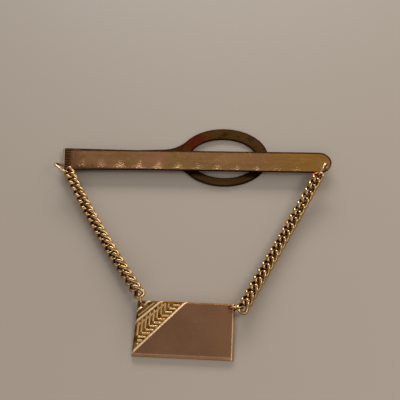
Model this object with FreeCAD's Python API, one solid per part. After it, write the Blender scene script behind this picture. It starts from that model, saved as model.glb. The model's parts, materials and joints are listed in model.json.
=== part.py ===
import FreeCAD, Part
import math
import os

# Tie clip lying on its back: X along the bar, Y towards the upper edge, Z up from the table.
# Lengths are in millimetres and angles in degrees.

V = FreeCAD.Vector
up = V(0, 0, 1)
overrun = 1.0                    # how far a cutting tool passes the faces that it cuts

# Front bar: one strip of sheet whose left end is folded under into an open tube
bar_length = 60.0
bar_width = 5.3
fold_width = 5.9                 # the strip widens towards the fold
taper_length = 18.0
sheet = 0.35
fold_radius = 0.85               # outside of the fold
fold_sweep = 164.0               # from the front face round to the lip under the bead
fold_skew = 10.0                 # the fold is bent askew, its upper end further out

# Back spring: a rolled bead in the fold, a tongue and an oval loop, all from one strip
strip = 0.4
bead_clearance = 0.05
bead_inset = 0.25                # the bead stops short of the fold's upper end
tongue_width = 4.8
loop_distance = 35.7             # bead to the middle of the loop
loop_length = 19.9
loop_height = 15.9
eye_length = 15.2                # the hole of the loop
eye_height = 11.0
eye_shift = -0.45                # the hole lies below the loop's middle, so the upper limb is broader
loop_turn = -6.0                 # the loop's long axis against the tongue
spring_skew = 3.4                # the spring has bent towards the upper edge
flare_radius = 7.0               # tongue into loop

# Jump rings in the bar's two ends
bar_ring_radius = 1.9            # middle of the wire
bar_ring_wire = 0.46
left_hole_radius = 0.6           # in the side of the fold
left_hole_height = 1.38          # above the fold's lower end
left_hole_rise = 0.2             # above the bead's axis
left_exit = 1.2                  # the ring passes the bar's lower edge this far inside the bead's axis
left_room = 0.22                 # and its wire's middle this far outside that edge, level with the hole
left_ring_tilt = 55.0
ring_bay = 1.95                  # length of fold that the bead leaves free for the ring
bay_reach = 3.0                  # the tongue's corner is cut back this far from the bead
right_hole_radius = 0.6
right_hole_inset = 1.4           # from the round end
right_hole_drop = 1.0            # below the middle of the bar
right_ring_heading = 240.0
right_ring_tilt = 82.0
right_ring_rise = 18.5
left_hook_angle = 0.0            # where the first link hangs on its ring
right_hook_angle = 5.0

# Curb links: every link is the same closed loop, twisted from end to end
links = 20
pitch = 1.772                    # of a chain pulled tight
left_pitch = 1.75                # both chains lie a little slack
right_pitch = 1.729
link_wire = 0.7
link_width = 2.45
link_slack = 0.2                 # play between a link and the next
ring_slack = 0.12                # more room for a link on a ring than on another link
link_twist = -62.0               # half of the twist between a link's two ends
link_fullness_share = 0.7        # how much broader than an oval the link's shoulders are
twist_hold_share = 0.2           # how much of the twist the shoulders keep beyond a steady turn
link_spans = 8                   # pairs of arcs that follow half of the twisted loop
round_steps = 144                # points tried round a link to find how high it lies
table_clearance = 0.065
fall_links = 7                   # links over which a chain comes down from the bar
rise_links = 6                   # links over which it climbs to the plate's ring
left_chain_heading = 305.0       # from the bar to the plate
right_chain_heading = 245.0
left_chain_bend = 7.0            # how far each chain turns on the table
right_chain_bend = 2.0
left_roll = (-2.0, 56.0)         # each chain's lean about its own line, at the bar and at the plate
right_roll = (-24.0, 24.0)

# Plate with a relief corner, and its jump rings
plate_width = 18.6
plate_height = 10.5
plate_thick = 0.7
plate_bevel = 0.4
plate_lift = 0.86                # the rings hold the upper edge off the table
plate_hole_radius = 0.5
plate_hole_inset = 0.95          # from both edges of the corner
plate_ring_radius = 1.3
plate_ring_wire = 0.36
left_plate_ring_tilt = 90.0
right_plate_ring_tilt = 105.0
plate_ring_rise = 24.0
plate_ring_seat = 0.15           # the wire runs this far behind the middle of its hole
left_plate_ring_heading = 112.0
right_plate_ring_heading = 4.0
left_plate_hook_angle = 20.0
right_plate_hook_angle = 5.0
ridge_height = 0.16
ridge_width = 0.5
ridge_shares = ((0.46, 0.88), (0.205, 0.345), (0.08, 0.135))   # of the upper and the left edge, to its ends


def turn(vector, axis, angle):
    return FreeCAD.Rotation(axis, angle).multVec(vector)


def heading(angle):
    return V(math.cos(math.radians(angle)), math.sin(math.radians(angle)), 0)


# Places that several pieces share
bar_top = 2 * fold_radius
fold_x = fold_radius - bar_length / 2
fold_bore = fold_radius - sheet
fold_low = -fold_width / 2
bead_axis = V(fold_x, 0, fold_radius)
fold_way = turn(V(0, 1, 0), up, fold_skew)
fold_lean = math.tan(math.radians(fold_skew))


def make_bar():
    top = V(fold_x, 0, bar_top)
    inner_top = V(fold_x, 0, bar_top - sheet)
    right_end = bar_length           # the plan cuts it to length

    def on_fold(radius, angle):
        return bead_axis + turn(V(0, 0, radius), V(0, -1, 0), angle)

    outline = [
        Part.LineSegment(top, V(right_end, 0, bar_top)).toShape(),
        Part.LineSegment(V(right_end, 0, bar_top), V(right_end, 0, bar_top - sheet)).toShape(),
        Part.LineSegment(V(right_end, 0, bar_top - sheet), inner_top).toShape(),
        Part.Arc(inner_top, on_fold(fold_bore, fold_sweep / 2), on_fold(fold_bore, fold_sweep)).toShape(),
        Part.LineSegment(on_fold(fold_bore, fold_sweep), on_fold(fold_radius, fold_sweep)).toShape(),
        Part.Arc(on_fold(fold_radius, fold_sweep), on_fold(fold_radius, fold_sweep / 2), top).toShape(),
    ]
    section = Part.Face(Part.Wire(outline))
    section.rotate(bead_axis, up, fold_skew)
    section.translate(fold_way * -bar_length)
    folded = section.extrude(fold_way * (2 * bar_length))

    left_end = -bar_length / 2 - overrun
    taper_end = taper_length - bar_length / 2
    round_start = bar_length / 2 - bar_width / 2
    half = bar_width / 2
    plan = [
        Part.LineSegment(V(round_start, half, 0), V(taper_end, half, 0)).toShape(),
        Part.LineSegment(V(taper_end, half, 0), V(fold_x, fold_width / 2, 0)).toShape(),
        Part.LineSegment(V(fold_x, fold_width / 2, 0), V(left_end, fold_width / 2, 0)).toShape(),
        Part.LineSegment(V(left_end, fold_width / 2, 0), V(left_end, fold_low, 0)).toShape(),
        Part.LineSegment(V(left_end, fold_low, 0), V(fold_x, fold_low, 0)).toShape(),
        Part.LineSegment(V(fold_x, fold_low, 0), V(taper_end, -half, 0)).toShape(),
        Part.LineSegment(V(taper_end, -half, 0), V(round_start, -half, 0)).toShape(),
        Part.Arc(V(round_start, -half, 0), V(bar_length / 2, 0, 0), V(round_start, half, 0)).toShape(),
    ]
    shape_plan = Part.Face(Part.Wire(plan))
    shape_plan.translate(V(0, 0, -overrun))
    bar = folded.common(shape_plan.extrude(V(0, 0, bar_top + 2 * overrun)))

    drill_start = V(-bar_length / 2 - overrun, left_hole.y, left_hole.z)
    side_drill = Part.makeCylinder(left_hole_radius, fold_radius + overrun, drill_start, V(1, 0, 0))
    drill_start = right_hole - up * (sheet / 2 + overrun)
    end_drill = Part.makeCylinder(right_hole_radius, sheet + 2 * overrun, drill_start)
    return bar.cut(side_drill).cut(end_drill).Solids[0]


def make_spring():
    # Drawn flat, with the bead's axis at the origin and the tongue along X
    half = tongue_width / 2
    lean = half * math.tan(math.radians(fold_skew - spring_skew))
    foot = [V(lean, -half, -strip / 2), V(loop_distance, -half, -strip / 2)]
    foot += [V(loop_distance, half, -strip / 2), V(-lean, half, -strip / 2)]
    tongue = Part.Face(Part.makePolygon(foot + foot[:1])).extrude(V(0, 0, strip))

    def oval(length, height, shift, depth):
        curve = Part.Ellipse(V(0, 0, 0), length / 2, height / 2)
        face = Part.Face(Part.Wire(curve.toShape()))
        solid = face.extrude(V(0, 0, depth))
        solid.translate(V(0, shift, -depth / 2))
        solid.rotate(V(0, 0, 0), up, loop_turn)
        solid.translate(V(loop_distance, 0, 0))
        return solid

    blank = tongue.fuse(oval(loop_length, loop_height, 0, strip)).removeSplitter()

    def in_the_crotch(edge):
        upright = edge.BoundBox.ZLength > strip / 2
        return upright and loop_distance / 2 < edge.CenterOfMass.x < loop_distance - eye_length / 2

    blank = blank.makeFillet(flare_radius, [e for e in blank.Edges if in_the_crotch(e)])
    blank = blank.cut(oval(eye_length, eye_height, eye_shift, strip + 2 * overrun))
    reach = loop_distance + loop_length / 2
    incline = math.degrees(math.asin((fold_radius - strip / 2) / reach))
    blank.rotate(V(0, 0, 0), up, spring_skew)
    blank.rotate(V(0, 0, 0), V(0, 1, 0), incline)
    blank.translate(bead_axis)

    bead_low = fold_low + ring_bay
    bead_high = fold_width / 2 - bead_inset
    bead_radius = fold_bore - bead_clearance
    corner = Part.makeBox(overrun + bay_reach, fold_width, bar_top, V(fold_x - overrun, 0, 0))
    bay = corner.translated(V(0, bead_low - fold_width, 0))
    trim = corner.translated(V(0, bead_high, 0))
    bead_length = (bead_high - bead_low) / fold_way.y
    bead_start = bead_axis + fold_way * (bead_low / fold_way.y)
    bead = Part.makeCylinder(bead_radius, bead_length, bead_start, fold_way)
    return blank.cut(bay).cut(trim).fuse(bead).removeSplitter().Solids[0]


def make_ring(place, wire):
    return Part.makeTorus(place["radius"], wire / 2, place["centre"], place["normal"])


def ring_through(hole, ring_heading, tilt, rise, radius):
    # A ring whose wire passes through a hole, leans by tilt and has its middle above the hole
    along = heading(ring_heading)
    side = turn(along, up, 90)
    across = turn(side, along, tilt)
    rise_angle = math.radians(rise)
    centre = hole + (along * math.cos(rise_angle) + across * math.sin(rise_angle)) * radius
    normal = along.cross(across)
    return {"centre": centre, "along": along, "across": across, "normal": normal, "radius": radius}


def hook_on(ring, angle, ring_wire, pull):
    # The point between a ring's wire and the end of the link that pulls on it
    play = link_slack + ring_slack
    out = ring["along"] * math.cos(math.radians(angle)) + ring["across"] * math.sin(math.radians(angle))
    return ring["centre"] + out * ring["radius"] - heading(pull) * ((ring_wire + link_wire) / 4 + play / 2)


# Left ring: through the hole in the fold's side and out of the fold's open lower end
left_hole = V((sheet - bar_length) / 2, fold_low + left_hole_height, fold_radius + left_hole_rise)
left_hole.x -= left_hole.y * fold_lean
left_mouth = V(fold_x + left_exit - fold_low * fold_lean, fold_low - left_room, left_hole.z)
left_along = (left_mouth - left_hole).normalize()
left_across = turn(turn(left_along, up, -90), left_along, -left_ring_tilt)
left_half_chord = (left_mouth - left_hole).Length / 2
left_offset = math.sqrt(bar_ring_radius ** 2 - left_half_chord ** 2)
left_bar_ring = {
    "centre": (left_hole + left_mouth) / 2 + left_across * left_offset,
    "along": left_along,
    "across": left_across,
    "normal": left_along.cross(left_across),
    "radius": bar_ring_radius,
}
left_pivot = (left_hole + left_mouth) / 2

# Right ring: through the round end's hole and over the lower edge
right_hole = V(bar_length / 2 - right_hole_inset, -right_hole_drop, bar_top - sheet / 2)
right_lean = (right_ring_heading, right_ring_tilt, right_ring_rise)
right_bar_ring = ring_through(right_hole, *right_lean, bar_ring_radius)
right_pivot = right_hole

left_pull = left_chain_heading - left_chain_bend / 2
right_pull = right_chain_heading - right_chain_bend / 2
left_start = hook_on(left_bar_ring, left_hook_angle, bar_ring_wire, left_pull)
right_start = hook_on(right_bar_ring, right_hook_angle, bar_ring_wire, right_pull)

# Plate rings, first placed against the middle of the plate's upper edge
plate_tilt = math.degrees(math.asin(plate_lift / plate_height))
low_edge = V(0, -plate_height, 0)
hole_side = plate_width / 2 - plate_hole_inset


def on_plate(point):
    # From the flat drawing of the plate to the plate as it lies
    return turn(point - low_edge, V(1, 0, 0), plate_tilt) + low_edge


def plate_ring(side, ring_heading, tilt):
    hole = on_plate(V(side * hole_side, -plate_hole_inset, plate_thick / 2))
    seat = hole - heading(ring_heading) * plate_ring_seat
    return ring_through(seat, ring_heading, tilt, plate_ring_rise, plate_ring_radius)


left_plate_ring = plate_ring(-1, left_plate_ring_heading, left_plate_ring_tilt)
right_plate_ring = plate_ring(1, right_plate_ring_heading, right_plate_ring_tilt)
left_pull = left_chain_heading + left_chain_bend / 2 - 180
right_pull = right_chain_heading + right_chain_bend / 2 - 180
left_end = hook_on(left_plate_ring, left_plate_hook_angle, plate_ring_wire, left_pull)
right_end = hook_on(right_plate_ring, right_plate_hook_angle, plate_ring_wire, right_pull)

# Curb link: a broad-shouldered oval of wire whose width turns from one end to the other
link_reach = (pitch + link_wire + link_slack) / 2
link_spread = (link_width - link_wire) / 2


def link_point(turned):
    sweep, rise = math.cos(turned), math.sin(turned)
    width = link_spread * rise * (1 + link_fullness_share * sweep ** 2)
    lean = math.radians(link_twist) * sweep * (1 + twist_hold_share * rise ** 2)
    return V(link_reach * sweep, width * math.cos(lean), width * math.sin(lean))


def link_direction(turned):
    sweep, rise = math.cos(turned), math.sin(turned)
    width = link_spread * rise * (1 + link_fullness_share * sweep ** 2)
    growth = link_spread * sweep * (1 + link_fullness_share * (sweep ** 2 - 2 * rise ** 2))
    lean = math.radians(link_twist) * sweep * (1 + twist_hold_share * rise ** 2)
    leaning = math.radians(link_twist) * rise * (twist_hold_share * (2 * sweep ** 2 - rise ** 2) - 1)
    along_y = growth * math.cos(lean) - width * math.sin(lean) * leaning
    along_z = growth * math.sin(lean) + width * math.cos(lean) * leaning
    return V(-link_reach * rise, along_y, along_z).normalize()


def tangent_arc(start, corner, end):
    # The arc that touches start-corner at start and corner-end at end
    middle = (start + end) / 2
    bend = (corner - start).getAngle(end - corner)
    height = (corner - middle).Length
    sagitta = (end - start).Length / 2 * math.tan(bend / 4)
    return Part.Arc(start, middle + (corner - middle) * (sagitta / height), end).toShape()


def arc_pair(start, start_way, end, end_way):
    gap = end - start
    ways = start_way + end_way
    spread = 2 * (1 - start_way.dot(end_way))
    lead = (math.sqrt(gap.dot(ways) ** 2 + spread * gap.dot(gap)) - gap.dot(ways)) / spread
    first = start + start_way * lead
    second = end - end_way * lead
    meet = (first + second) / 2
    return [tangent_arc(start, first, meet), tangent_arc(meet, second, end)]


def make_link():
    # Half of the loop as a tube; the other half is the same, half a turn about Z
    path = []
    for span in range(link_spans):
        here = math.pi * span / link_spans
        there = math.pi * (span + 1) / link_spans
        path += arc_pair(link_point(here), link_direction(here), link_point(there), link_direction(there))
    wire_section = Part.Wire([Part.makeCircle(link_wire / 2, link_point(0), link_direction(0))])
    half = Part.Wire(path).makePipeShell([wire_section], True, False)
    other = half.copy()
    other.rotate(V(0, 0, 0), up, 180)
    return half.fuse(other).removeSplitter().Solids[0]


def smooth_step(share):
    share = min(max(share, 0), 1)
    return share * share * (3 - 2 * share)


def mixed(pair, share):
    return pair[0] + (pair[1] - pair[0]) * share


def lying_height(roll):
    # Half of the height that a link takes when it lies with this lean
    lean = math.radians(roll)
    steps = round_steps
    reach = 0
    for step in range(steps):
        point = link_point(2 * math.pi * step / steps)
        reach = max(reach, abs(point.y * math.sin(lean) + point.z * math.cos(lean)))
    return reach + link_wire / 2 + table_clearance


def chain_heights(start, end, rolls):
    heights = []
    for joint in range(links + 1):
        lying = lying_height(mixed(rolls, joint / links))
        from_bar = 1 - smooth_step(joint / fall_links)
        from_plate = 1 - smooth_step((links - joint) / rise_links)
        heights.append(lying + (start.z - lying) * from_bar + (end.z - lying) * from_plate)
    return heights


def chain_arc(heights, bend, pitch):
    # Level step of every link, and the arc on the table that takes them all
    steps = [math.sqrt(pitch ** 2 - (b - a) ** 2) for a, b in zip(heights, heights[1:])]
    bend = math.radians(bend)
    radius = sum(steps) / bend
    for _ in range(links):
        radius = sum(2 * radius * math.asin(step / (2 * radius)) for step in steps) / bend
    turns = [2 * math.asin(step / (2 * radius)) for step in steps]
    return {"steps": steps, "turns": turns, "bend": bend, "span": 2 * radius * math.sin(bend / 2)}


def chain_points(start, end, heights, arc):
    way = end - start
    angle = math.atan2(way.y, way.x) - arc["bend"] / 2
    points = [V(start)]
    for step, turned, height in zip(arc["steps"], arc["turns"], heights[1:]):
        angle += turned / 2
        last = points[-1]
        points.append(V(last.x + step * math.cos(angle), last.y + step * math.sin(angle), height))
        angle += turned / 2
    return points


left_heights = chain_heights(left_start, left_end, left_roll)
right_heights = chain_heights(right_start, right_end, right_roll)
left_arc = chain_arc(left_heights, left_chain_bend, left_pitch)
right_arc = chain_arc(right_heights, right_chain_bend, right_pitch)

# The plate lies where both chains, at their full length, hold it
left_base = V(left_start.x - left_end.x, left_start.y - left_end.y, 0)
right_base = V(right_start.x - right_end.x, right_start.y - right_end.y, 0)
base = right_base - left_base
base_share = (left_arc["span"] ** 2 - right_arc["span"] ** 2 + base.Length ** 2) / (2 * base.Length ** 2)
drop = math.sqrt(left_arc["span"] ** 2 - (base_share * base.Length) ** 2)
plate_place = left_base + base * base_share + turn(base, up, -90).normalize() * drop

for place in (left_plate_ring, right_plate_ring):
    place["centre"] = place["centre"] + plate_place
left_plate_pivot = on_plate(V(-hole_side, -plate_hole_inset, plate_thick / 2)) + plate_place
right_plate_pivot = on_plate(V(hole_side, -plate_hole_inset, plate_thick / 2)) + plate_place
left_points = chain_points(left_start, left_end + plate_place, left_heights, left_arc)
right_points = chain_points(right_start, right_end + plate_place, right_heights, right_arc)


def make_plate():
    # Drawn flat with the middle of the upper back edge at the origin
    low = low_edge - V(plate_width / 2, 0, 0)
    block = Part.makeBox(plate_width, plate_height, plate_thick, low)
    rim = [e for e in block.Edges if e.BoundBox.ZMin > plate_thick / 2]
    plate = block.makeChamfer(plate_bevel, rim)
    face_left = plate_bevel - plate_width / 2
    field_width = plate_width - 2 * plate_bevel
    field_height = plate_height - 2 * plate_bevel
    field_low = low + V(plate_bevel, plate_bevel, plate_thick)
    field = Part.makeBox(field_width, field_height, plate_thick, field_low)
    for top_share, side_share in ridge_shares:
        top_end = V(face_left + top_share * plate_width, -plate_bevel, 0)
        side_end = V(face_left, -plate_bevel - side_share * plate_height, 0)
        run = (side_end - top_end).normalize()
        side = turn(run, up, 90) * (ridge_width / 2)
        first = top_end - run * plate_width
        second = side_end + run * plate_width
        foot = [first + side, second + side, second - side, first - side]
        crest = Part.makePolygon([foot[0], foot[3], first + up * ridge_height, foot[0]])
        ridge = Part.Face(crest).extrude(second - first)
        ridge.translate(up * plate_thick)
        plate = plate.fuse(ridge.common(field))
    for side in (-1, 1):
        centre = V(side * hole_side, -plate_hole_inset, -overrun)
        plate = plate.cut(Part.makeCylinder(plate_hole_radius, plate_thick + 2 * overrun, centre))
    plate = plate.removeSplitter().Solids[0]
    plate.rotate(low_edge, V(1, 0, 0), plate_tilt)
    plate.translate(plate_place)
    return plate


def place_link(link, start, end, roll):
    along = (end - start).normalize()
    side = turn(up.cross(along).normalize(), along, roll)
    top = along.cross(side)
    middle = (start + end) / 2
    rows = []
    for axis in ("x", "y", "z"):
        rows += [getattr(v, axis) for v in (along, side, top, middle)]
    return link.transformed(FreeCAD.Matrix(*rows), copy=True)


pieces = {
    "bar": make_bar(),
    "back_spring": make_spring(),
    "left_bar_ring": make_ring(left_bar_ring, bar_ring_wire),
    "right_bar_ring": make_ring(right_bar_ring, bar_ring_wire),
    "left_plate_ring": make_ring(left_plate_ring, plate_ring_wire),
    "right_plate_ring": make_ring(right_plate_ring, plate_ring_wire),
    "plate": make_plate(),
}
one_link = make_link()
for side, points, rolls in (("left", left_points, left_roll), ("right", right_points, right_roll)):
    for number in range(links):
        roll = (mixed(rolls, number / links) + mixed(rolls, (number + 1) / links)) / 2
        name = "%s_link_%02d" % (side, number + 1)
        pieces[name] = place_link(one_link, points[number], points[number + 1], roll)

# The origin lies under the middle of the whole clip, on the table
boxes = [shape.optimalBoundingBox(False) for shape in pieces.values()]
low_corner = V(*(min(getattr(b, k) for b in boxes) for k in ("XMin", "YMin", "ZMin")))
high_corner = V(*(max(getattr(b, k) for b in boxes) for k in ("XMax", "YMax", "ZMax")))
to_origin = V(-(low_corner.x + high_corner.x) / 2, -(low_corner.y + high_corner.y) / 2, -low_corner.z)

os.makedirs("parts", exist_ok=True)
for name, shape in pieces.items():
    shape.translate(to_origin)
    shape.exportStep("parts/%s.step" % name)
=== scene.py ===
import bmesh
import bpy
import json
import math
import numpy as np
from mathutils import Matrix, Vector


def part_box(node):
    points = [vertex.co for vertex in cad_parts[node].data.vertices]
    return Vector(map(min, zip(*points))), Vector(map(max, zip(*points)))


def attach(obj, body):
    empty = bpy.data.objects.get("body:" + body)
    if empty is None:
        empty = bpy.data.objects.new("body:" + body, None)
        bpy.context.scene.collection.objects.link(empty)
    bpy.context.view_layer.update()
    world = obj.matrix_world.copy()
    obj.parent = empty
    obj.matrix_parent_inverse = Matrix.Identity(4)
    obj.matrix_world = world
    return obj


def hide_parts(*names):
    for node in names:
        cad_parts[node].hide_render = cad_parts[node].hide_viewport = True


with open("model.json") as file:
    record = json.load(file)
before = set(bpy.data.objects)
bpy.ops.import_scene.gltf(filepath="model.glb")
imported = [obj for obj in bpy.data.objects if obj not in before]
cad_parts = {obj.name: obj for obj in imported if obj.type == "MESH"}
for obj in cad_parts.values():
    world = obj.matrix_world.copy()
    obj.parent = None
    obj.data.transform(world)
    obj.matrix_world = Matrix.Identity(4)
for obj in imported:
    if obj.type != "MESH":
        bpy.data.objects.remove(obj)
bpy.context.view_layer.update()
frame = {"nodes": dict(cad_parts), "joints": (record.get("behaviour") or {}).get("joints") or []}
scene = bpy.context.scene
scene.view_settings.view_transform = "Standard"
mm = 0.001
joints = {joint["name"]: joint for joint in frame["joints"]}
print("frame loaded:", len(frame["nodes"]), "nodes")

view = {
    "eye": Vector((13.263, -57.971, 100.141)) * mm,
    "right": Vector((0.99563, 0.06764, -0.06441)),
    "down": Vector((0.02127, -0.83564, -0.54886)),
    "ahead": Vector((-0.09095, 0.54509, -0.83343)),
    "lens": 50.4, "sensor": 36, "near": 0.005, "far": 10,
}


def setCamera():
    data = bpy.data.cameras.new("view")
    data.lens = view["lens"]
    data.sensor_width = view["sensor"]
    data.clip_start = view["near"]
    data.clip_end = view["far"]
    camera = bpy.data.objects.new("view", data)
    scene.collection.objects.link(camera)
    turned = Matrix((view["right"], -view["down"], -view["ahead"])).transposed()
    camera.matrix_world = Matrix.Translation(view["eye"]) @ turned.to_4x4()
    scene.camera = camera


setCamera()


class Flow:  # a socket, with the arithmetic of its node tree
    def __init__(self, tree, socket=None):
        self.tree = tree
        self.socket = socket

    def node(self, kind, values=None, out=0, **settings):
        made = self.tree.nodes.new(kind)
        for key, value in settings.items():
            setattr(made, key, value)
        for key, value in (values or {}).items():
            if isinstance(value, Flow):
                self.tree.links.new(value.socket, made.inputs[key])
            else:
                made.inputs[key].default_value = value
        return Flow(self.tree, made.outputs[out])

    def maths(self, operation, *values):
        return self.node("ShaderNodeMath", dict(enumerate(values)), operation=operation)

    def vector(self, operation, *values, out=0):
        return self.node("ShaderNodeVectorMath", dict(enumerate(values)), out, operation=operation)

    def __add__(self, other):
        return self.maths("ADD", self, other)

    def __radd__(self, other):
        return self.maths("ADD", other, self)

    def __sub__(self, other):
        return self.maths("SUBTRACT", self, other)

    def __rsub__(self, other):
        return self.maths("SUBTRACT", other, self)

    def __mul__(self, other):
        return self.maths("MULTIPLY", self, other)

    def __truediv__(self, other):
        return self.maths("DIVIDE", self, other)

    def length(self, other):  # of the slope over two legs, this one and the other
        return self.maths("SQRT", self * self + other * other)

    def fade(self, low, high):  # 0 below low, 1 above high, smooth between
        span = {0: self, 1: low, 2: high}
        return self.node("ShaderNodeMapRange", span, interpolation_type="SMOOTHSTEP")

    def tint(self, under, over):  # this value mixes two colours
        return self.node("ShaderNodeMix", {0: self, 6: under, 7: over}, 2, data_type="RGBA")

    def put(self, start, *moves):  # start plus vectors, each times its own value
        for way, amount in moves:
            move = self.node("ShaderNodeVectorMath", {0: way, 3: amount}, operation="SCALE")
            start = self.vector("ADD", start, move)
        return start


# Finishes: tone and warm drift into each other, stain gathers in patches,
# and rim shows along the eased edges (dark on the bar and spring: painted shade, side faces too)
barLook = {
    "tone": (0.275, 0.152, 0.056, 1), "warm": (0.305, 0.152, 0.076, 1),
    "stain": (0.14, 0.065, 0.024, 1), "stainFrom": 0.62, "rim": (0.02, 0.009, 0.004, 1),
    "cloud": 130, "rough": 0.29, "vary": 0.16, "brush": (90, 1500, 1500), "bump": 0.12,
    "scratches": (0.35, -0.62, 1.2), "hairline": (0.46, 0.27, 0.12, 1),
}
springLook = {
    "tone": (0.070, 0.038, 0.012, 1), "warm": (0.080, 0.035, 0.014, 1),
    "stain": (0.028, 0.013, 0.006, 1), "stainFrom": 0.5, "rim": (0.010, 0.005, 0.003, 1),
    "cloud": 190, "rough": 0.34, "vary": 0.2, "brush": (300, 900, 900), "bump": 0.2,
    "scratches": (0.8, -0.4), "hairline": (0.16, 0.085, 0.035, 1),
}
chainLook = {
    "tone": (0.51, 0.335, 0.14, 1), "warm": (0.57, 0.385, 0.19, 1),
    "stain": (0.20, 0.085, 0.018, 1), "stainFrom": 0.60, "rim": (0.85, 0.62, 0.34, 1),
    "cloud": 260, "rough": 0.23, "vary": 0.12, "brush": (700, 700, 700), "bump": 0.1,
    "scratches": (), "deep": (0.30, 0.14, 0.035, 1), "dim": (0.25, 0.15, 0.055, 1),
    "grimeAndShade": (0.095, 0.027, 0.001, 1),
}
plateLook = {
    "tone": (0.288, 0.143, 0.077, 1), "warm": (0.33, 0.167, 0.085, 1),
    "stain": (0.20, 0.09, 0.043, 1), "stainFrom": 0.66, "rim": (0.70, 0.46, 0.26, 1),
    "cloud": 120, "rough": 0.28, "vary": 0.12, "brush": (150, 1300, 1300), "bump": 0.1,
    "scratches": (0.28, -0.75, 1.05), "hairline": (0.46, 0.25, 0.14, 1),
}
reliefLook = dict(
    chainLook, tone=(0.74, 0.45, 0.18, 1), warm=(0.80, 0.50, 0.23, 1), rough=0.26, stainFrom=0.7,
)
# painted shade: the level strokes get a darker copy of the relief gold
levelShadeLook = dict(reliefLook, tone=(0.40, 0.235, 0.095, 1), warm=(0.46, 0.28, 0.13, 1))
fanLook = dict(
    reliefLook, tone=(0.78, 0.53, 0.31, 1), warm=(0.86, 0.62, 0.39, 1), rubbed=(0.32, 0.175, 0.07, 1),
)
# painted shade: the ribs get a dark copy of the relief gold, lying on the fold's shaded band
ribShadeLook = dict(reliefLook, tone=(0.115, 0.056, 0.03, 1), warm=(0.135, 0.07, 0.04, 1))
ringLook = dict(chainLook, tone=(0.62, 0.45, 0.25, 1), warm=(0.70, 0.54, 0.34, 1))

metal = {
    "grazing": (0.82, 0.50, 0.28, 1), "cloudSpan": (0.36, 0.64), "patchScale": 2.7, "stainSpan": 0.2,
    "stain": 0.75, "bumpDepth": 0.03 * mm,
}
scratch = {"scale": (170, 8000, 900), "span": (0.68, 0.74), "strength": 0.2, "rough": 0.1}


def goldFinish(name, look, shade=None):
    material = bpy.data.materials.new(name)
    material.use_nodes = True
    shader = material.node_tree.nodes["Principled BSDF"]
    flow = Flow(material.node_tree)
    spot = flow.node("ShaderNodeTexCoord", out="Object")

    def noise(where, scale, detail):
        return flow.node("ShaderNodeTexNoise", {"Vector": where, "Scale": scale, "Detail": detail})

    brushed = flow.node("ShaderNodeMapping", {"Vector": spot, "Scale": look["brush"]})
    cloud = noise(spot, look["cloud"], 3.0)
    patch = noise(spot, look["cloud"] * metal["patchScale"], 5.0)
    streak = noise(brushed, 1.0, 4.0)
    rim = flow.node("ShaderNodeAttribute", out="Fac", attribute_name="rim")
    stained = patch.fade(look["stainFrom"], look["stainFrom"] + metal["stainSpan"])
    colour = cloud.fade(*metal["cloudSpan"]).tint(look["tone"], look["warm"])
    colour = (stained * metal["stain"]).tint(colour, look["stain"])
    # the rim colour: edge wear on the plate, painted shade on the bar's and spring's edges and side
    # faces
    colour = (rim * (0.6 + streak * 0.4)).tint(colour, look["rim"])
    rough = look["rough"] + (streak - 0.5) * look["vary"] + (cloud - 0.5) * 0.1 - rim * 0.06
    if shade:
        colour, rough = shade(flow, spot, colour, rough)
    for angle in look["scratches"]:  # fine hairlines from wear
        turned = flow.node("ShaderNodeVectorRotate", {"Vector": spot, "Angle": angle},
                           rotation_type="Z_AXIS")
        drawn = flow.node("ShaderNodeMapping", {"Vector": turned, "Scale": scratch["scale"]})
        hairline = noise(drawn, 1.0, 1.0).fade(*scratch["span"])
        colour = (hairline * scratch["strength"]).tint(colour, look["hairline"])
        rough = rough + hairline * scratch["rough"]
    bump = flow.node("ShaderNodeBump", {
        "Strength": look["bump"], "Distance": metal["bumpDepth"], "Height": streak,
    })
    links = material.node_tree.links
    links.new(colour.socket, shader.inputs["Base Color"])
    links.new(rough.socket, shader.inputs["Roughness"])
    links.new(bump.socket, shader.inputs["Normal"])
    shader.inputs["Metallic"].default_value = 1.0
    shader.inputs["Specular Tint"].default_value = metal["grazing"]     # old gold stays warm at a slant
    return material


def planAxes(flow, spot):
    return [flow.node("ShaderNodeSeparateXYZ", {0: spot}, i) for i in range(2)]


barLow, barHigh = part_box("bar")
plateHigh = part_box("plate")[1]

hinge = Vector(joints["back_spring_hinge"]["pos_m"])   # on the fold's axis
foldWay = Vector(joints["back_spring_hinge"]["axis"])
foldLean = foldWay.x / foldWay.y

bar = {
    "width": 5.3 * mm, "edge": 0.5 * mm, "lowEdge": 0.24 * mm, "ease": 0.12 * mm,
    "edgeShade": (0.035, 0.015, 0.006, 1), "ribShade": (0.028, 0.012, 0.006, 1),
    "blush": (0.20, 0.088, 0.05, 1), "dusk": (0.085, 0.042, 0.026, 1),
    "fold": (0.76, 0.66, 0.47, 1),
    "ruddy": (0.335, 0.165, 0.066, 1), "yellow": (0.355, 0.178, 0.034, 1),
    "rubbed": (0.46, 0.20, 0.06, 1),
}
ribs = {
    "count": 9, "wire": 0.16 * mm, "sink": 0.04 * mm, "run": 1.65 * mm, "sweep": math.radians(13),
    "radius": 0.85 * mm, "inset": 0.3 * mm, "points": 16, "sides": 8,
}


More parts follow.
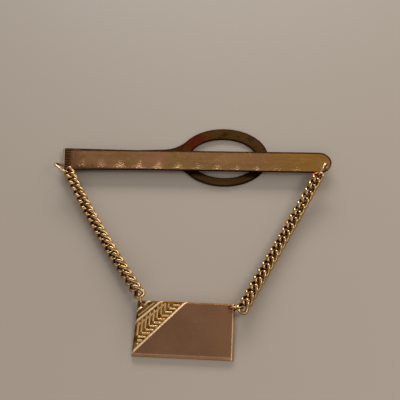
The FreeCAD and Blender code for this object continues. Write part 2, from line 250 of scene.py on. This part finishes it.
def shadeBar(flow, spot, colour, rough):
    x, y = planAxes(flow, spot)
    half = bar["width"] / 2
    above = y - hinge.y
    past = flow.maths("MAXIMUM", x - (barHigh.x - half), 0.0)          # into the round end
    mixAmount = flow.maths("MAXIMUM", above.fade(-0.5 * mm, 0.5 * mm), past.fade(0.9 * mm, 1.9 * mm))
    width = bar["lowEdge"] + mixAmount * (bar["edge"] - bar["lowEdge"])     # broader above and round the end
    # painted shade: a dark band along the bar's outline, broader above and round the end
    edge = ((above.length(past) - half) / width).fade(-1.0, -0.6)
    colour = (edge * 0.9).tint(colour, bar["edgeShade"])
    out = x - hinge.x - above * foldLean                               # from the fold's axis
    run = ribs["run"]
    band = out.fade(-0.26 * mm, -0.18 * mm) * (1 - out.fade(run - 0.9 * mm, run + 0.2 * mm) * 0.6)
    band = band * (1 - out.fade(run, run + 0.25 * mm))
    colour = (band * 0.97).tint(colour, bar["ribShade"])              # painted shade between the ribs
    blush = out.fade(run, run + 0.3 * mm) * (1 - out.fade(2.2 * mm, 4.5 * mm))
    colour = (blush * 0.7).tint(colour, bar["blush"])                  # reddish next to them
    dusk = (1 - above.fade(-2.3 * mm, -0.9 * mm)) * (1 - out.fade(5 * mm, 12 * mm)) * (1 - band)
    colour = (dusk * 0.5).tint(colour, bar["dusk"])                    # darker below on the left
    pale = 1 - out.fade(-0.3 * mm, -0.2 * mm)
    colour = (pale * 0.9).tint(colour, bar["fold"])                    # painted reflection: the fold's curve pale
    ruddy = x.fade(barHigh.x - 34 * mm, barHigh.x - 20 * mm) * (1 - edge)
    colour = (ruddy * 0.6).tint(colour, bar["ruddy"])                  # warmer past the middle
    yellow = x.fade(barHigh.x - 17 * mm, barHigh.x - 5 * mm) * (1 - edge)
    colour = (yellow * 0.75).tint(colour, bar["yellow"])               # yellower towards the round end
    hole = joints["right_bar_ring_swing"]["pos_m"]
    rubbed = 1 - (x - hole[0]).length(y - hole[1]).fade(0.7 * mm, 1.5 * mm)
    colour = (rubbed * 0.6).tint(colour, bar["rubbed"])                # by the ring
    return colour, rough + band * 0.1


springLoop = {
    "distance": 35.7 * mm, "skew": math.radians(3.4), "turn": math.radians(-2.6),
    "length": 19.9 * mm, "height": 15.9 * mm, "eyeLength": 15.2 * mm, "eyeHeight": 11.0 * mm,
    "eyeShift": -0.45 * mm, "edge": 0.4 * mm, "ease": 0.15 * mm,
    "tongue": (0.032, 0.016, 0.007, 1), "red": (0.088, 0.013, 0.008, 1),
    "low": (0.115, 0.056, 0.02, 1), "edgeShade": (0.018, 0.009, 0.004, 1),
}
loopWay = Vector((math.cos(springLoop["skew"]), math.sin(springLoop["skew"]), 0))
loopMiddle = hinge + loopWay * springLoop["distance"]


def shadeSpring(flow, spot, colour, rough):
    x, y = planAxes(flow, spot)
    east, north = x - loopMiddle.x, y - loopMiddle.y
    tongue = 1 - east.fade(-11.5 * mm, -9 * mm)
    colour = (tongue * 0.8).tint(colour, springLoop["tongue"])         # painted shade: nearly black where it lies under the bar
    red = east.fade(-10.5 * mm, -8.5 * mm) * (1 - east.fade(-6 * mm, -2 * mm)) * north.fade(0.0, 3 * mm)
    colour = (red * 0.9).tint(colour, springLoop["red"])               # where the loop begins
    low = 1 - north.fade(-5 * mm, 0.0)
    colour = (low * 0.7).tint(colour, springLoop["low"])               # lighter below
    turnCos, turnSin = math.cos(springLoop["turn"]), math.sin(springLoop["turn"])
    along = east * turnCos + north * turnSin
    across = north * turnCos - east * turnSin

    def oval(length, height, shift):  # 1 on the oval's line
        return (along / (length / 2)).length((across - shift) / (height / 2))

    outside = oval(springLoop["length"], springLoop["height"], 0.0)
    outside = outside.fade(1 - springLoop["edge"] / springLoop["height"] * 2, 0.985)
    eye = oval(springLoop["eyeLength"], springLoop["eyeHeight"], springLoop["eyeShift"])
    inside = 1 - eye.fade(1.015, 1 + springLoop["edge"] / springLoop["eyeHeight"] * 2)
    edge = flow.maths("MAXIMUM", outside * east.fade(-12 * mm, -8 * mm), inside)
    colour = (edge * 0.8).tint(colour, springLoop["edgeShade"])          # painted shade along both edges
    return colour, rough


def shadeChain(flow, spot, colour, rough):
    x, y = planAxes(flow, spot)
    grimeAndShade = flow.node("ShaderNodeAttribute", out="Fac", attribute_name="grimeAndShade")
    deep = x.fade(-2 * mm, 2 * mm)
    colour = (deep * 0.3).tint(colour, chainLook["deep"])              # the right chain is browner
    dim = (1 - deep) * (0.42 - y.fade(plateHigh.y, hinge.y) * 0.38)
    colour = dim.tint(colour, chainLook["dim"])                        # the left one darkens downwards
    # grime and painted shade on the inner side of each link and ring
    colour = (grimeAndShade * (0.84 + deep * 0.14)).tint(colour, chainLook["grimeAndShade"])
    return colour, rough + grimeAndShade * 0.2


plate = {
    "width": 18.6 * mm, "height": 10.5 * mm, "thick": 0.7 * mm, "lift": 0.86 * mm,
    "inset": 0.95 * mm,
    "bevel": 0.4 * mm, "ease": 0.05 * mm, "ridges": ((0.46, 0.88), (0.205, 0.345), (0.08, 0.135)),
    "ridgeHalf": 0.23 * mm, "pale": (0.37, 0.188, 0.095, 1), "groundLow": (0.12, 0.050, 0.008, 1),
    "groundHigh": (0.38, 0.20, 0.048, 1), "ridge": (1.0, 0.70, 0.43, 1),
    "bareAndHighlight": (1.0, 0.72, 0.44, 1),
    "rightBevel": (0.44, 0.24, 0.12, 1), "lowBevel": (0.35, 0.185, 0.09, 1),
}
plateTilt = math.asin(plate["lift"] / plate["height"])
plateRight = Vector((1, 0, 0))
plateUp = Vector((0, math.cos(plateTilt), math.sin(plateTilt)))
plateOut = Vector((0, -math.sin(plateTilt), math.cos(plateTilt)))
plateHole = Vector(joints["plate_flip"]["pos_m"])
plateCorner = plateHole + (plateUp - plateRight) * plate["inset"] + plateOut * (plate["thick"] / 2)


def onPlate(across, down, out):
    beside = plateRight * (across * plate["width"])
    return plateCorner + beside - plateUp * (down * plate["height"]) + plateOut * out


def shadePlate(flow, spot, colour, rough):
    x, y = planAxes(flow, spot)
    flatHeight = plate["height"] * math.cos(plateTilt)
    right = (x - plateCorner.x - plate["bevel"]) / plate["width"]
    down = (plateCorner.y - y) / flatHeight - plate["bevel"] / plate["height"]
    lines = [right / a + down / b for a, b in plate["ridges"]]
    corner = 1 - lines[0].fade(0.99, 1.01)
    colour = (right.fade(0.35, 1.0) * 0.5).tint(colour, plate["pale"])     # paler to the right
    mixAmount = flow.node("ShaderNodeTexNoise", {"Vector": spot, "Scale": 900.0, "Detail": 3.0})
    ground = mixAmount.fade(0.3, 0.7).tint(plate["groundLow"], plate["groundHigh"])
    colour = (corner * 0.95).tint(colour, ground)      # the relief corner has a darker, yellower ground
    for line, (a, b) in zip(lines, plate["ridges"]):
        half = plate["ridgeHalf"] * math.hypot(1 / (a * plate["width"]), 1 / (b * plate["height"]))
        ridge = 1 - flow.maths("ABSOLUTE", line - 1).fade(half * 0.75, half)
        colour = ridge.tint(colour, plate["ridge"])
    rightGap = plateCorner.x + plate["width"] - plate["bevel"] - x
    lowGap = y - plateCorner.y + flatHeight - plate["bevel"]
    bevel = 1 - flow.maths("MINIMUM", rightGap, lowGap).fade(-0.06 * mm, 0.02 * mm)
    bright = rightGap.fade(0.0, 2 * mm).tint(plate["rightBevel"], plate["lowBevel"])
    colour = bevel.tint(colour, bright)                # painted light: the bevel paler, more on the right than below
    for gap, strength in ((rightGap, 0.9), (lowGap, 0.12)):
        line = 1 - flow.maths("ABSOLUTE", gap).fade(0.04 * mm, 0.13 * mm)
        colour = (line * strength).tint(colour, plate["bareAndHighlight"])     # bare metal where the bevel begins, with a painted highlight strong on the right and faint below
    return colour, rough


def shadeFans(flow, spot, colour, rough):
    x, y = planAxes(flow, spot)
    out = x - hinge.x
    left = (1 - out.fade(6 * mm, 11 * mm)) * 0.75
    right = out.fade(24 * mm, 34 * mm) * 0.55
    upper = (y - hinge.y).fade(0.0, 1 * mm) * 0.8
    faint = flow.maths("MAXIMUM", flow.maths("MAXIMUM", left, right), upper)
    return faint.tint(colour, fanLook["rubbed"]), rough     # rubbed down towards both ends and above


barGold = goldFinish("barGold", barLook, shadeBar)
springGold = goldFinish("springGold", springLook, shadeSpring)
chainGold = goldFinish("chainGold", chainLook, shadeChain)
plateGold = goldFinish("plateGold", plateLook, shadePlate)
reliefGold = goldFinish("reliefGold", reliefLook)
levelShadedGold = goldFinish("levelShadedGold", levelShadeLook)
fanGold = goldFinish("fanGold", fanLook, shadeFans)
ribShadedGold = goldFinish("ribShadedGold", ribShadeLook)
ringGold = goldFinish("ringGold", ringLook, shadeChain)
print("finishes made")


def addPiece(name, mesh, body, node=None):
    piece = bpy.data.objects.new(name, mesh)
    scene.collection.objects.link(piece)
    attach(piece, body)
    if node:
        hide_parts(node)


def plainMesh(carrier):  # what its modifiers make of the carrier, which then goes
    depsgraph = bpy.context.evaluated_depsgraph_get()
    mesh = bpy.data.meshes.new_from_object(carrier.evaluated_get(depsgraph), depsgraph=depsgraph)
    bpy.data.objects.remove(carrier)
    return mesh


easing = {
    "merge": 1e-7, "flat": math.radians(0.6), "sharp": math.radians(28), "steps": 2, "sideways": 0.5,
}


def softened(node, rimWidth, finish, shadeSides):  # the solid's own shape with its edges eased
    mesh = frame["nodes"][node].data.copy()
    work = bmesh.new()
    work.from_mesh(mesh)
    bmesh.ops.remove_doubles(work, verts=work.verts, dist=easing["merge"])
    bmesh.ops.dissolve_limit(work, angle_limit=easing["flat"], verts=work.verts, edges=work.edges)
    convex = [edge for edge in work.edges if len(edge.link_faces) == 2 and edge.is_convex]
    sharp = [edge for edge in convex if edge.calc_face_angle() > easing["sharp"]]
    made = bmesh.ops.bevel(work, geom=sharp, offset=rimWidth, offset_type="OFFSET", profile=0.5,
                           segments=easing["steps"], affect="EDGES", clamp_overlap=True)
    rim = work.loops.layers.float.new("rim")
    rimFaces = list(made["faces"])
    if shadeSides:
        # painted shade: on the bar and spring, faces that stand upright take the dark rim colour
        rimFaces += [face for face in work.faces if abs(face.normal.z) < easing["sideways"]]
    for face in rimFaces:
        for loop in face.loops:
            loop[rim] = 1.0
    for face in work.faces:
        face.smooth = True
        face.material_index = 0
    work.to_mesh(mesh)
    work.free()
    mesh.materials.clear()
    mesh.materials.append(finish)
    carrier = bpy.data.objects.new(node, mesh)
    scene.collection.objects.link(carrier)
    carrier.modifiers.new("even", "WEIGHTED_NORMAL").keep_sharp = False
    return plainMesh(carrier)


barMesh = softened("bar", bar["ease"], barGold, True)
addPiece("barStrip", barMesh, "bar", "bar")
springMesh = softened("back_spring", springLoop["ease"], springGold, True)
addPiece("springStrip", springMesh, "back_spring", "back_spring")
plateMesh = softened("plate", plate["ease"], plateGold, False)
addPiece("plateBody", plateMesh, "plate", "plate")
print("bar, spring and plate dressed")


def startTree(name, sizes=(), counts=(), ways=(), shape=False):
    tree = bpy.data.node_groups.new(name, "GeometryNodeTree")
    tree.interface.new_socket("Geometry", in_out="OUTPUT", socket_type="NodeSocketGeometry")
    if shape:
        tree.interface.new_socket("Geometry", in_out="INPUT", socket_type="NodeSocketGeometry")
    kinds = {"Float": sizes, "Int": counts, "Vector": ways, "Material": ("Finish",)}
    for kind, labels in kinds.items():
        for label in labels:
            tree.interface.new_socket(label, in_out="INPUT", socket_type="NodeSocket" + kind)
    source = tree.nodes.new("NodeGroupInput")
    return tree, {socket.name: Flow(tree, socket) for socket in source.outputs if socket.name}


def endTree(tree, shape, finish):
    whole = shape.node("GeometryNodeRealizeInstances", {"Geometry": shape})
    smooth = shape.node("GeometryNodeSetShadeSmooth", {"Geometry": whole})
    painted = shape.node("GeometryNodeSetMaterial", {"Geometry": smooth, "Material": finish})
    drain = tree.nodes.new("NodeGroupOutput")
    tree.links.new(painted.socket, drain.inputs[0])
    return tree


def grown(name, tree, values, base=None):  # the tree's result as a plain mesh
    carrier = bpy.data.objects.new(name, base or bpy.data.meshes.new(name))
    scene.collection.objects.link(carrier)
    modifier = carrier.modifiers.new("grow", "NODES")
    modifier.node_group = tree
    for item in tree.interface.items_tree:
        if item.in_out == "INPUT" and item.name in values:
            modifier[item.identifier] = values[item.name]
    return plainMesh(carrier)


def tubeOf(flow, curve, wire, sides, capped=False):
    section = flow.node("GeometryNodeCurvePrimitiveCircle", {"Resolution": sides, "Radius": wire / 2})
    return flow.node("GeometryNodeCurveToMesh", {
        "Curve": curve, "Profile Curve": section, "Fill Caps": capped,
    })


def wireTube(flow, curve, wire, sides, middle):  # along a closed curve, with grime and painted shade towards its middle
    here = flow.node("GeometryNodeInputPosition")
    keep = {"Geometry": curve, "Name": "spine", "Value": here}
    kept = flow.node("GeometryNodeStoreNamedAttribute", keep, data_type="FLOAT_VECTOR", domain="POINT")
    tube = tubeOf(flow, kept, wire, sides)
    spine = flow.node("GeometryNodeInputNamedAttribute", {"Name": "spine"}, data_type="FLOAT_VECTOR")
    outward = flow.vector("NORMALIZE", flow.vector("SUBTRACT", here, spine))
    inward = flow.vector("NORMALIZE", flow.vector("SUBTRACT", middle, spine))
    grimeAndShade = flow.vector("DOT_PRODUCT", outward, inward, out="Value").fade(-0.2, 0.8)
    soil = {"Geometry": tube, "Name": "grimeAndShade", "Value": grimeAndShade}
    grimed = flow.node("GeometryNodeStoreNamedAttribute", soil, data_type="FLOAT", domain="POINT")
    return flow.node("GeometryNodeRemoveAttribute", {"Geometry": grimed, "Name": "spine"})


def ringCurve(flow, around, radius):  # a circle of points, and each one's angle
    circle = flow.node("GeometryNodeCurvePrimitiveCircle", {"Resolution": around, "Radius": radius})
    return circle, flow.node("GeometryNodeInputIndex") / around * (2 * math.pi)


def curbLinkTree():  # an oval of wire whose width turns from one end to the other
    tree, port = startTree("curbLink", ("Reach", "Spread", "Wire", "Twist", "Fullness", "Hold"),
                           ("Around", "Sides"), ("Middle", "Along", "Side", "Top"))
    flow = Flow(tree)
    circle, turned = ringCurve(flow, port["Around"], port["Spread"])
    sweep, rise = flow.maths("COSINE", turned), flow.maths("SINE", turned)
    width = port["Spread"] * rise * (1 + port["Fullness"] * sweep * sweep)     # broad shoulders
    lean = port["Twist"] * sweep * (1 + port["Hold"] * rise * rise)
    spine = flow.put(port["Middle"], (port["Along"], port["Reach"] * sweep),
                     (port["Side"], width * flow.maths("COSINE", lean)),
                     (port["Top"], width * flow.maths("SINE", lean)))
    bent = flow.node("GeometryNodeSetPosition", {"Geometry": circle, "Position": spine})
    tube = wireTube(flow, bent, port["Wire"], port["Sides"], port["Middle"])
    return endTree(tree, tube, port["Finish"])


def jumpRingTree():
    tree, port = startTree("jumpRing", ("Radius", "Wire"), ("Around", "Sides"),
                           ("Middle", "Along", "Across"))
    flow = Flow(tree)
    circle, turned = ringCurve(flow, port["Around"], port["Radius"])
    spine = flow.put(port["Middle"], (port["Along"], port["Radius"] * flow.maths("COSINE", turned)),
                     (port["Across"], port["Radius"] * flow.maths("SINE", turned)))
    bent = flow.node("GeometryNodeSetPosition", {"Geometry": circle, "Position": spine})
    tube = wireTube(flow, bent, port["Wire"], port["Sides"], port["Middle"])
    return endTree(tree, tube, port["Finish"])


curb = {
    "links": 20, "pitch": 1.772 * mm, "wire": 0.7 * mm, "width": 2.45 * mm, "slack": 0.2 * mm,
    "twist": math.radians(-62), "fullness": 0.7, "hold": 0.2,
    "roll": {"left": (-2, 56), "right": (-24, 24)},      # degrees, from the bar to the plate
    "around": 56, "sides": 12,
}


def makeChains():
    tree = curbLinkTree()
    for side, (rollStart, rollEnd) in curb["roll"].items():
        names = ["%s_link_%02d" % (side, i + 1) for i in range(curb["links"])]
        turns = [name + "_turn" for name in names] + [side + "_plate_ring_turn"]
        spots = [Vector(joints[turn]["pos_m"]) for turn in turns]
        for i, name in enumerate(names):
            along = (spots[i + 1] - spots[i]).normalized()
            flat = Vector((0, 0, 1)).cross(along).normalized()
            roll = math.radians(rollStart + (rollEnd - rollStart) * (i + 0.5) / curb["links"])
            across = Matrix.Rotation(roll, 3, along) @ flat
            mesh = grown(name, tree, {
                "Reach": (curb["pitch"] + curb["wire"] + curb["slack"]) / 2,
                "Spread": (curb["width"] - curb["wire"]) / 2, "Wire": curb["wire"],
                "Twist": curb["twist"], "Fullness": curb["fullness"], "Hold": curb["hold"],
                "Around": curb["around"], "Sides": curb["sides"],
                "Middle": (spots[i] + spots[i + 1]) / 2, "Along": along, "Side": across,
                "Top": along.cross(across), "Finish": chainGold,
            })
            addPiece("curb_" + name, mesh, name, name)


rings = {
    "around": 56, "sides": 14,
    "kinds": {
        "left_bar_ring": (0.46 * mm, ringGold), "right_bar_ring": (0.46 * mm, ringGold),
        "left_plate_ring": (0.36 * mm, chainGold), "right_plate_ring": (0.36 * mm, chainGold),
    },
}


def makeRings():  # each lies where its solid lies
    tree = jumpRingTree()
    for name, (wire, finish) in rings["kinds"].items():
        spots = np.array([v.co[:] for v in frame["nodes"][name].data.vertices])
        centre = spots.mean(axis=0)
        ways = np.linalg.svd(spots - centre, full_matrices=False)[2]
        reach = (spots - centre) @ ways.T
        middle = centre + ((reach.max(axis=0) + reach.min(axis=0)) / 2) @ ways
        radius = (reach[:, 0].max() - reach[:, 0].min() - wire) / 2
        mesh = grown(name, tree, {
            "Radius": radius, "Wire": wire, "Around": rings["around"], "Sides": rings["sides"],
            "Middle": Vector(middle), "Along": Vector(ways[0]), "Across": Vector(ways[1]),
            "Finish": finish,
        })
        addPiece("jump_" + name, mesh, name, name)


makeChains()
makeRings()
print("chains and rings made")


def ribTree():  # fine ribs that run along the bar and over its fold
    sizes = ("First", "Step", "Lean", "Edge", "Run", "Sweep", "Radius", "Top", "Wire")
    tree, port = startTree("foldRibs", sizes, ("Count", "Points", "Sides"))
    flow = Flow(tree)
    line = flow.node("GeometryNodeCurvePrimitiveLine", {"End": (mm, 0, 0)})
    line = flow.node("GeometryNodeResampleCurve", {"Curve": line, "Count": port["Points"]})
    length = port["Run"] + port["Radius"] * port["Sweep"]
    gone = flow.node("GeometryNodeInputIndex") / (port["Points"] - 1) * length
    flat = flow.maths("MAXIMUM", port["Run"] - gone, 0.0)
    turned = flow.maths("MAXIMUM", gone - port["Run"], 0.0) / port["Radius"]
    x = flat - port["Radius"] * flow.maths("SINE", turned)
    z = port["Top"] - port["Radius"] * (1 - flow.maths("COSINE", turned))
    spine = flow.node("ShaderNodeCombineXYZ", {0: x, 2: z})
    bent = flow.node("GeometryNodeSetPosition", {"Geometry": line, "Position": spine})
    rib = tubeOf(flow, bent, port["Wire"], port["Sides"], True)
    start = flow.node("ShaderNodeCombineXYZ", {0: port["Edge"], 1: port["First"]})
    step = flow.node("ShaderNodeCombineXYZ", {0: port["Step"] * port["Lean"], 1: port["Step"]})
    row = flow.node("GeometryNodeMeshLine", {
        "Count": port["Count"], "Start Location": start, "Offset": step,
    })
    placed = flow.node("GeometryNodeInstanceOnPoints", {"Points": row, "Instance": rib})
    return endTree(tree, placed, port["Finish"])


def makeRibs():
    first = barLow.y + ribs["inset"]
    step = (barHigh.y - barLow.y - 2 * ribs["inset"]) / (ribs["count"] - 1)
    mesh = grown("foldRibs", ribTree(), {
        "First": first, "Step": step, "Lean": foldLean, "Edge": hinge.x + (first - hinge.y) * foldLean,
        "Run": ribs["run"], "Sweep": ribs["sweep"], "Radius": ribs["radius"], "Wire": ribs["wire"],
        "Top": barHigh.z - ribs["sink"], "Count": ribs["count"], "Points": ribs["points"],
        "Sides": ribs["sides"], "Finish": ribShadedGold,
    })
    addPiece("foldRibs", mesh, "bar")


border = {
    "first": 4.1 * mm, "step": 4.33 * mm, "half": 1.5 * mm, "height": 2.3 * mm, "bead": 0.1 * mm,
    "beads": 5, "edge": 0.3 * mm, "lower": 0.04, "foot": 0.03, "swell": 0.85, "flat": 0.6,
    "rows": {
        "lowerFans": {
            "up": 1.0, "base": 0.5 * mm, "drift": -0.06 * mm, "size": 1.0, "fans": 12, "chevrons": 3,
        },
        "upperFans": {
            "up": -1.0, "base": 0.28 * mm, "drift": 0.0, "size": 0.22, "fans": 7, "chevrons": 1,
        },
    },
}


def borderTree():  # triangles of nested chevrons, each leg a row of beads
    sizes = ("First", "Step", "Base", "Drift", "Lower", "Limit", "Top", "Up", "Half", "Height", "Bead",
             "Foot", "Swell", "Flat")
    tree, port = startTree("fanBorder", sizes, ("Fans", "Rows", "Beads"))
    flow = Flow(tree)
    index = flow.node("GeometryNodeInputIndex")
    side = flow.maths("MODULO", index, 2.0) * 2 - 1
    legs = flow.maths("FLOOR", index / 2)
    bead = (flow.maths("MODULO", legs, port["Beads"]) + 0.5) / port["Beads"]
    chevrons = flow.maths("FLOOR", legs / port["Beads"])
    row = flow.maths("MODULO", chevrons, port["Rows"]) / port["Rows"]
    fan = flow.maths("FLOOR", chevrons / port["Rows"])
    height = port["Height"] * (1 - fan * port["Lower"])
    rise = height * (1 - row - bead)
    x = port["First"] + fan * port["Step"] + side * bead * port["Half"]
    y = port["Base"] + fan * port["Drift"] + rise * port["Up"]
    onBar = flow.maths("GREATER_THAN", (y - port["Limit"]) * port["Up"], 0.0)
    inFan = flow.maths("GREATER_THAN", rise, height * port["Foot"])
    spot = flow.node("ShaderNodeCombineXYZ", {0: x, 1: y, 2: port["Top"]})
    count = port["Fans"] * port["Rows"] * port["Beads"] * 2
    dots = flow.node("GeometryNodePoints", {"Count": count, "Position": spot})
    drop = flow.node("GeometryNodeMeshUVSphere", {"Segments": 8, "Rings": 5, "Radius": port["Bead"]})
    swell = port["Swell"] + row               # the inner chevrons are bolder
    size = flow.node("ShaderNodeCombineXYZ", {0: swell, 1: swell, 2: port["Flat"]})
    placed = flow.node("GeometryNodeInstanceOnPoints", {
        "Points": dots, "Selection": onBar * inFan, "Instance": drop, "Scale": size,
    })
    return endTree(tree, placed, port["Finish"])


def makeBorder():
    tree = borderTree()
    half = bar["width"] / 2
    for name, row in border["rows"].items():
        up, size = row["up"], row["size"]
        mesh = grown(name, tree, {
            "First": hinge.x + border["first"], "Step": border["step"], "Drift": up * row["drift"],
            "Base": hinge.y - up * (half - row["base"]),
            "Limit": hinge.y - up * (half - border["edge"]),
            "Top": barHigh.z, "Up": up, "Lower": border["lower"], "Foot": border["foot"],
            "Half": border["half"] * size, "Height": border["height"] * size,
            "Bead": border["bead"] * (0.4 + 0.6 * size), "Beads": border["beads"],
            "Swell": border["swell"], "Flat": border["flat"],
            "Fans": row["fans"], "Rows": row["chevrons"], "Finish": fanGold,
        })
        addPiece(name, mesh, "bar")


makeRibs()
makeBorder()
print("ribs and border made")

relief = {
    "wire": 0.42 * mm, "sides": 8, "sink": 0.12 * mm, "pairs": 10, "more": 2, "start": 0.6,
    "spine": (0.36, 0.66), "room": 0.024, "edge": 0.014, "gap": 0.01, "overlap": 0.02,
    "thin": ((0.275, 0.45), (0.155, 0.255)), "thinEnd": 0.02,
}


def reliefTree():  # a bead along every stroke
    tree, port = startTree("relief", ("Wire",), ("Sides",), shape=True)
    flow = Flow(tree)
    paths = flow.node("GeometryNodeMeshToCurve", {"Mesh": port["Geometry"]})
    return endTree(tree, tubeOf(flow, paths, port["Wire"], port["Sides"], True), port["Finish"])


def makeRelief():  # herringbone on a slanting spine, and thin lines beside the inner ridges
    edgeRight, edgeDown = plate["bevel"] / plate["width"], plate["bevel"] / plate["height"]
    (outerRight, outerDown), (innerRight, innerDown) = plate["ridges"][:2]
    spineRight, spineDown = relief["spine"]
    level, upright = [], []
    for i in range(relief["pairs"] + relief["more"]):
        share = (i + relief["start"]) / relief["pairs"]
        right, down = max(spineRight * (1 - share), relief["edge"]), spineDown * share
        stop = outerRight * (1 - down / outerDown) - relief["room"]
        rise = max(innerDown * (1 - right / innerRight) + relief["room"] * 2, relief["gap"])
        level += [(right + relief["gap"], down), (stop, down)]
        if i < relief["pairs"]:
            upright += [(right, down - relief["overlap"]), (right, rise)]
    near, far = relief["thinEnd"], 1 - relief["thinEnd"]
    for right, down in relief["thin"]:
        upright += [(right * far, down * near), (right * near, down * far)]
    tree = reliefTree()
    strokes = {"levelStrokes": (level, levelShadedGold), "uprightStrokes": (upright, reliefGold)}
    for name, (ends, finish) in strokes.items():
        base = bpy.data.meshes.new(name)
        spots = [onPlate(edgeRight + a, edgeDown + b, -relief["sink"]) for a, b in ends]
        base.from_pydata(spots, [(i, i + 1) for i in range(0, len(spots), 2)], [])
        values = {"Wire": relief["wire"], "Sides": relief["sides"], "Finish": finish}
        addPiece(name, grown(name, tree, values, base), "plate")


makeRelief()
print("plate relief made")

stageLook = {
    "reach": 1.2, "drop": 0.02 * mm, "floor": (0.360, 0.307, 0.258, 1), "rough": 0.6,
    "world": (1.0, 0.97, 0.93, 1), "worldStrength": 0.42,
}


def makeStage():
    mesh = bpy.data.meshes.new("floor")
    reach = stageLook["reach"]
    corners = [(-reach, -reach, 0), (reach, -reach, 0), (reach, reach, 0), (-reach, reach, 0)]
    mesh.from_pydata(corners, [], [(0, 1, 2, 3)])
    floor = bpy.data.objects.new("floor", mesh)
    floor.location.z = -stageLook["drop"]
    scene.collection.objects.link(floor)
    material = bpy.data.materials.new("floorPaint")
    material.use_nodes = True
    shader = material.node_tree.nodes["Principled BSDF"]
    shader.inputs["Base Color"].default_value = stageLook["floor"]
    shader.inputs["Roughness"].default_value = stageLook["rough"]
    mesh.materials.append(material)


lamps = {
    "window": {
        "spot": (-0.3, 3.6, 1.37), "size": (2.9, 0.9), "power": 120.0, "colour": (1.0, 0.97, 0.93),
    },
    "edge": {
        "spot": (0.42, 0.25, 0.10), "size": (0.10, 0.16), "power": 0.35, "colour": (1.0, 0.95, 0.88),
    },
    "crest": {
        "spot": (0.27, -0.07, 0.31), "size": (0.14, 0.14), "power": 0.45, "colour": (1.0, 0.96, 0.90),
    },
    "front": {
        "spot": (-0.05, -0.40, 0.22), "size": (0.3, 0.16), "power": 0.34, "colour": (1.0, 0.96, 0.92),
    },
}


def makeLights():
    for name, lamp in lamps.items():
        data = bpy.data.lights.new(name, "AREA")
        data.shape = "RECTANGLE"
        data.size, data.size_y = lamp["size"]
        data.energy = lamp["power"]
        data.color = lamp["colour"]
        light = bpy.data.objects.new(name, data)
        light.location = lamp["spot"]
        light.rotation_euler = (-Vector(lamp["spot"])).to_track_quat("-Z", "Y").to_euler()
        scene.collection.objects.link(light)
    world = bpy.data.worlds.new("room")
    world.use_nodes = True
    sky = world.node_tree.nodes["Background"]
    sky.inputs["Color"].default_value = stageLook["world"]
    sky.inputs["Strength"].default_value = stageLook["worldStrength"]
    scene.world = world


makeStage()
makeLights()
print("stage and lights made")
